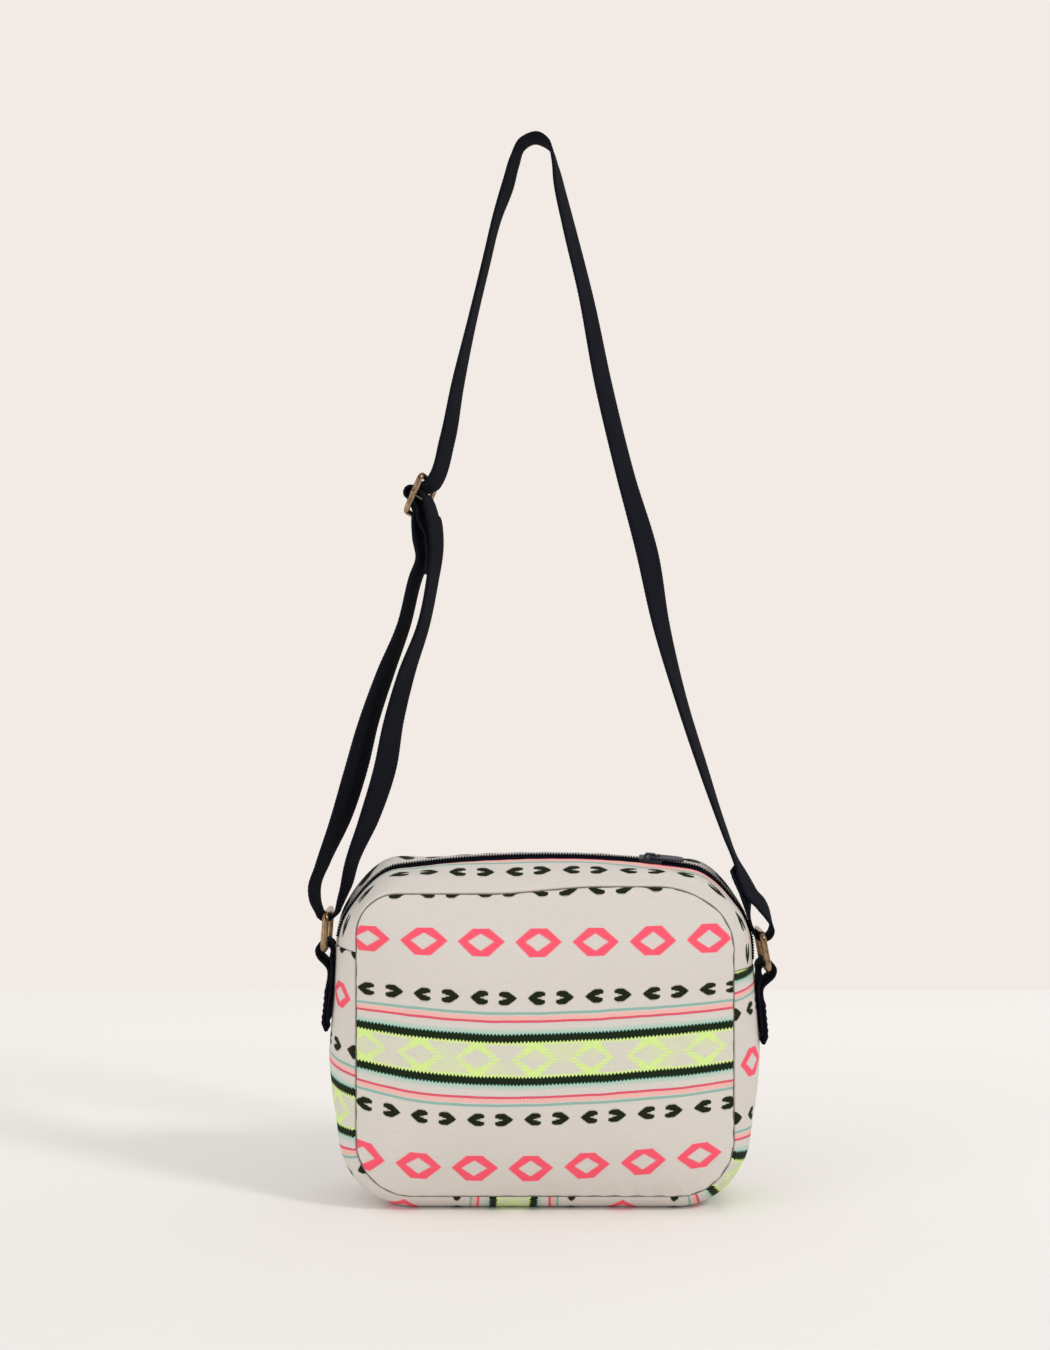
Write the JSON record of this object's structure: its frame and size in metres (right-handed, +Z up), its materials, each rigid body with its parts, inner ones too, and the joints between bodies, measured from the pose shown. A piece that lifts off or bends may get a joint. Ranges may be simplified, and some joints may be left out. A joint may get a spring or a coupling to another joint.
{
  "type": "crossbody bag",
  "caption": "Boxy zip-top crossbody bag in patterned woven cloth, with a webbing strap on metal side rings and a strap adjuster.",
  "frame": {"origin": "centre of the flat base", "axes": "+Z up along the strap, +X to the right seen from the front, -Y to the front"},
  "size_m": [0.2513, 0.0986, 0.5753],
  "materials": {
    "woven_cloth": "undyed woven cotton with bright woven bands",
    "lining_cloth": "plain lining cloth",
    "webbing": "navy cotton webbing",
    "zip_tape": "navy zip tape",
    "zip_coil": "navy nylon coil",
    "slider_paint": "navy paint",
    "brass": "antique brass"
  },
  "bodies": {
    "bag": {"front_panel": "woven_cloth", "back_panel": "woven_cloth", "side_gusset": "woven_cloth", "zip_gusset_front": "woven_cloth", "zip_gusset_rear": "woven_cloth", "zip_tape_front": "zip_tape", "zip_tape_rear": "zip_tape", "zip_teeth_front": "zip_coil", "zip_teeth_rear": "zip_coil", "tab_left": "webbing", "tab_right": "webbing", "strap": "webbing", "lining_front": "lining_cloth", "lining_back": "lining_cloth", "lining_gusset": "lining_cloth", "lining_top_front": "lining_cloth", "lining_top_rear": "lining_cloth"},
    "slider": {"zip_slider": "slider_paint"},
    "puller": {"zip_puller": "slider_paint"},
    "left_ring": {"ring_left": "brass"},
    "right_ring": {"ring_right": "brass"},
    "adjuster": {"strap_adjuster": "brass"}
  },
  "joints": [
    {"name": "zip_travel", "type": "hinge", "parent": "bag", "child": "slider", "pos_m": [0, -0.008, -0.352], "axis": [0, 1, 0], "range_deg": [-13.6, 1.5]},
    {"name": "puller_swing", "type": "hinge", "parent": "slider", "child": "puller", "pos_m": [0.05715, -0.0086, 0.1854], "axis": [-0.0255, -0.9706, -0.2395], "range_deg": [0, 180]},
    {"name": "ring_left_swing", "type": "hinge", "parent": "bag", "child": "left_ring", "pos_m": [-0.1184, 0, 0.1359], "axis": [0, 1, 0], "range_deg": [-4.5, 4]},
    {"name": "ring_right_swing", "type": "hinge", "parent": "bag", "child": "right_ring", "pos_m": [0.12, 0, 0.1253], "axis": [0, 1, 0], "range_deg": [0, 10]},
    {"name": "adjuster_tilt", "type": "hinge", "parent": "bag", "child": "adjuster", "pos_m": [-0.06676, 0, 0.3792], "axis": [0.2266, 0.9693, -0.0957], "range_deg": [-4, 4]}
  ]
}
